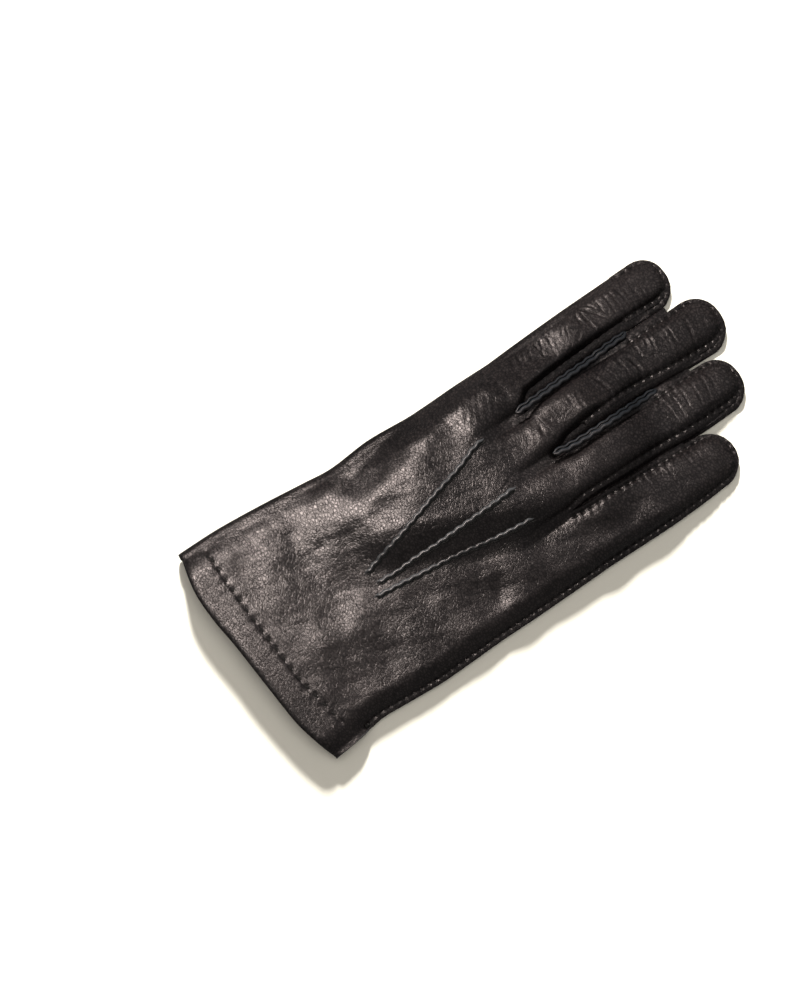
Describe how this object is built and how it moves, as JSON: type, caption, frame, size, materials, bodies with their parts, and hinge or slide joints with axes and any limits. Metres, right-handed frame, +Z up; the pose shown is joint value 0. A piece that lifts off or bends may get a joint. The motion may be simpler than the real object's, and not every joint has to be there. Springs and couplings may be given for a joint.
{
  "type": "lined leather glove",
  "caption": "Right-hand leather dress glove with a fabric lining, lying palm down: sewn fingers, pin tucks on the back, hemmed cuff, wrist vent and a thumb folded under the palm.",
  "frame": {"origin": "bottom centre of the glove's bounding box, on the surface that it lies on", "axes": "+X towards the little finger's side, +Y from the cuff to the fingertips, +Z up out of the back of the hand"},
  "size_m": [0.1122, 0.2552, 0.0206],
  "materials": {
    "nappa": "semi-gloss nappa leather with a fine grain",
    "lining": "brushed knitted lining",
    "thread": "waxed sewing thread"
  },
  "bodies": {
    "root": {"back": "nappa", "palm": "nappa", "fourchette_index_middle": "nappa", "fourchette_middle_ring": "nappa", "fourchette_ring_little": "nappa", "thumb": "nappa", "vent_binding": "nappa", "lining": "lining"}
  },
  "joints": []
}
